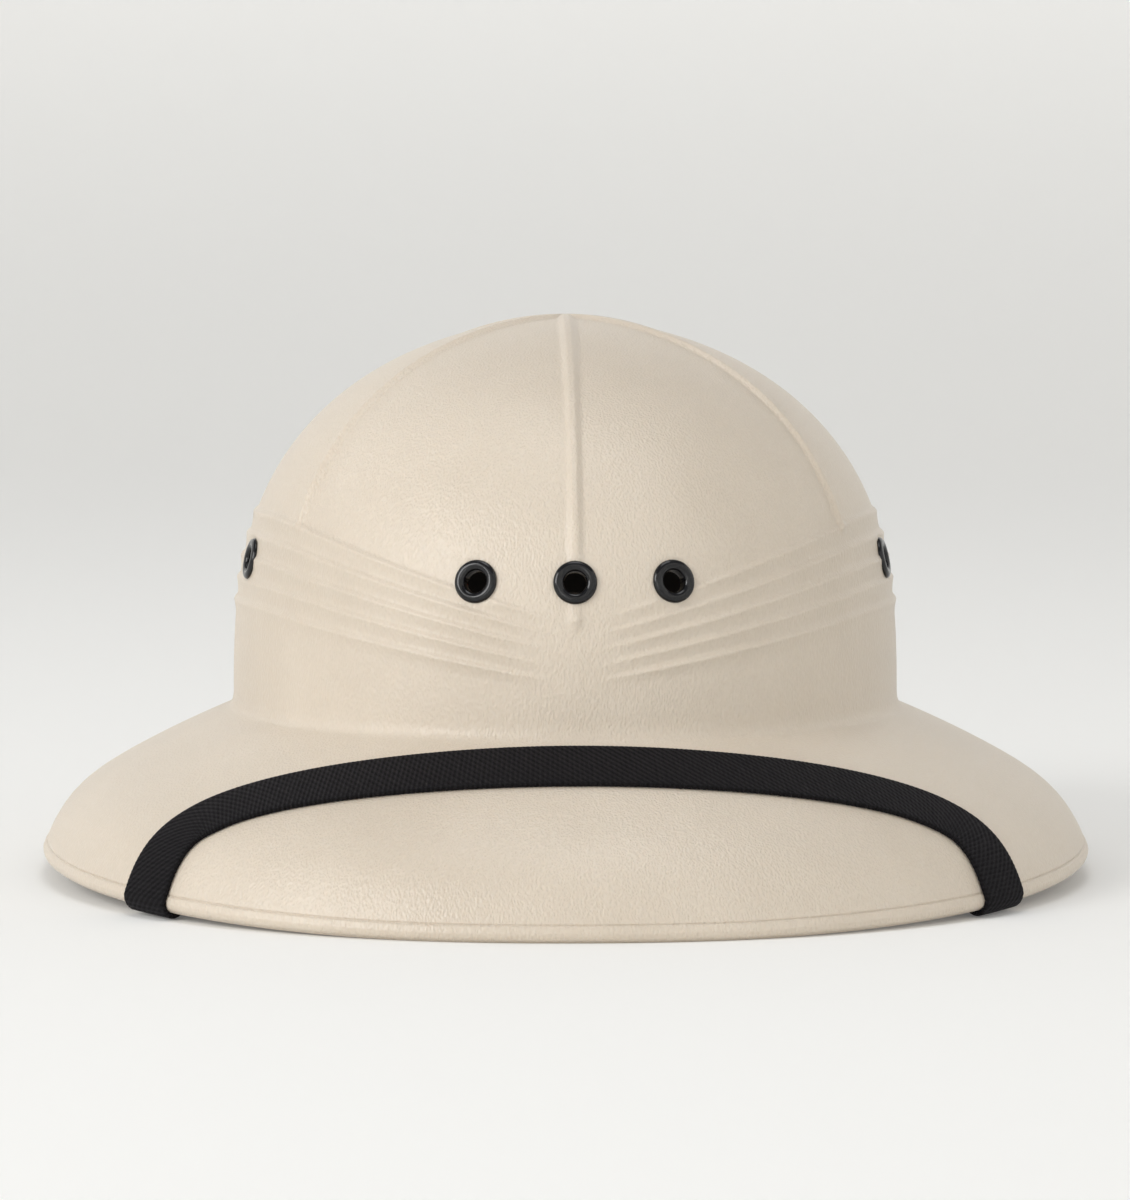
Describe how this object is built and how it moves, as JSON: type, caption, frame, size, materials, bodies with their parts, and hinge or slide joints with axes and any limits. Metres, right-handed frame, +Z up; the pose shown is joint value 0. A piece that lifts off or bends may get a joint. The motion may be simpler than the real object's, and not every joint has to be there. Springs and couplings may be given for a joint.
{
  "type": "pith helmet",
  "caption": "Moulded sun helmet with an oval crown, wide turned-down brim, ventilation eyelets, inner headband and a webbing chin strap over the front brim.",
  "frame": {"origin": "on the surface that the rim rests on, under the middle of the crown", "axes": "+Z up through the crown's apex, -Y towards the front of the helmet, +X to the right as seen from the front"},
  "size_m": [0.305, 0.34, 0.1621],
  "materials": {
    "shell": "fine moulded leather grain, soft satin",
    "eyelet": "glossy black enamel",
    "strap": "black twill webbing",
    "headband": "matt black",
    "edge_strip": "smooth grey"
  },
  "bodies": {
    "root": {"shell": "shell", "eyelet_front_centre": "eyelet", "eyelet_front_left": "eyelet", "eyelet_front_right": "eyelet", "eyelet_side_left": "eyelet", "eyelet_side_right": "eyelet", "eyelet_rear_centre": "eyelet", "eyelet_rear_left": "eyelet", "eyelet_rear_right": "eyelet", "chin_strap": "strap", "headband": "headband", "spacer_front": "headband", "spacer_rear": "headband", "spacer_left": "headband", "spacer_right": "headband", "edge_strip_left": "edge_strip", "edge_strip_right": "edge_strip", "strap_rivet_left": "eyelet", "strap_rivet_right": "eyelet"}
  },
  "joints": []
}
